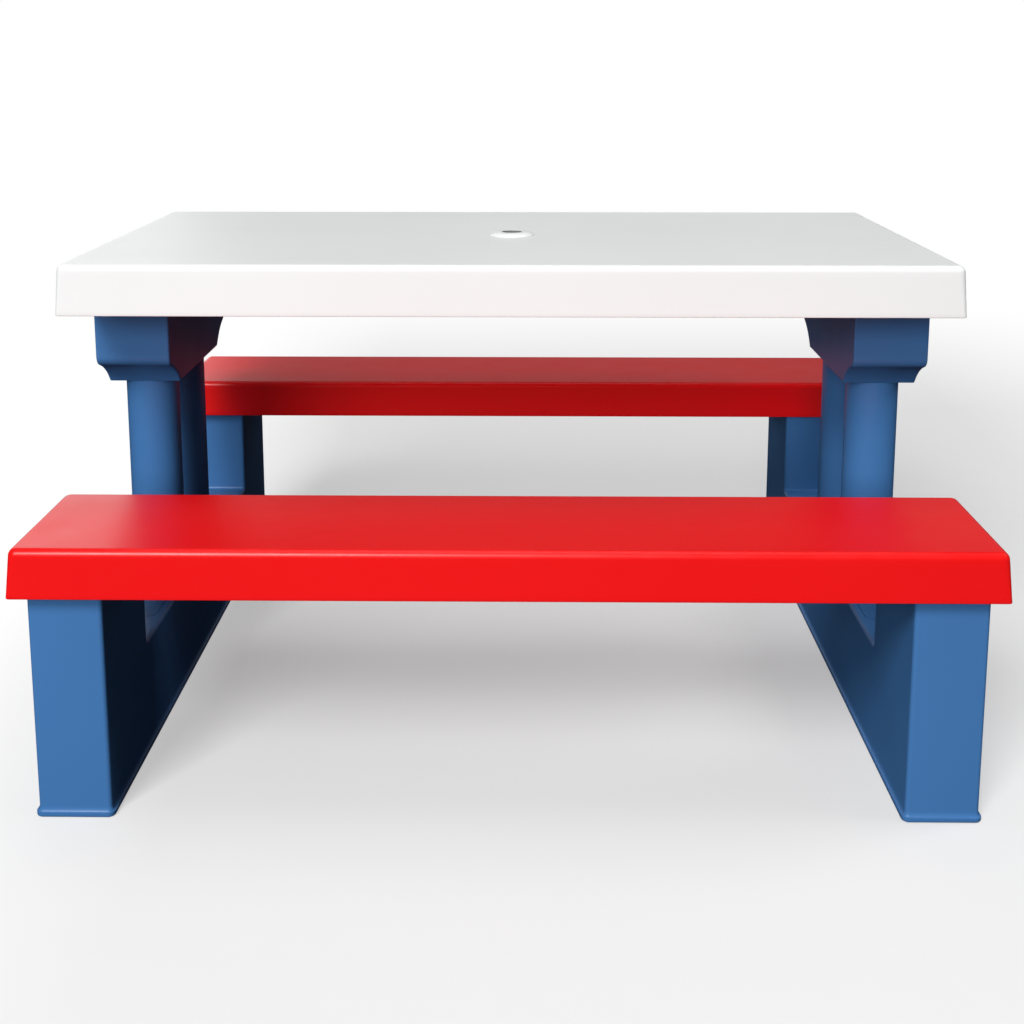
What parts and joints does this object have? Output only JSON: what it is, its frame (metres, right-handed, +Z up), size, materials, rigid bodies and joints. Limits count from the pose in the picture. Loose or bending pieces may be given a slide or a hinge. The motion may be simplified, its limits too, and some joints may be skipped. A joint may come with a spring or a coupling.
{
  "type": "kids picnic table",
  "caption": "Low plastic table for children with a bench along each long side, carried on sled-shaped side frames with round columns, and with a parasol hole in the table top.",
  "frame": {"origin": "on the floor, below the middle of the table", "axes": "+X along the benches, +Y from the front bench to the rear bench, +Z up"},
  "size_m": [0.79, 0.69, 0.4385],
  "materials": {
    "white_plastic": "satin",
    "red_plastic": "satin",
    "blue_plastic": "satin",
    "screw_steel": "zinc plated"
  },
  "bodies": {
    "root": {"table_top": "white_plastic", "parasol_collar": "white_plastic", "front_bench_seat": "red_plastic", "front_bench_screws": "screw_steel", "rear_bench_seat": "red_plastic", "rear_bench_screws": "screw_steel", "left_base_frame": "blue_plastic", "left_column_foot": "blue_plastic", "left_front_column": "blue_plastic", "left_rear_column": "blue_plastic", "left_head": "blue_plastic", "left_foot_screws": "screw_steel", "left_head_screws": "screw_steel", "left_table_screws": "screw_steel", "right_base_frame": "blue_plastic", "right_column_foot": "blue_plastic", "right_front_column": "blue_plastic", "right_rear_column": "blue_plastic", "right_head": "blue_plastic", "right_foot_screws": "screw_steel", "right_head_screws": "screw_steel", "right_table_screws": "screw_steel"}
  },
  "joints": []
}
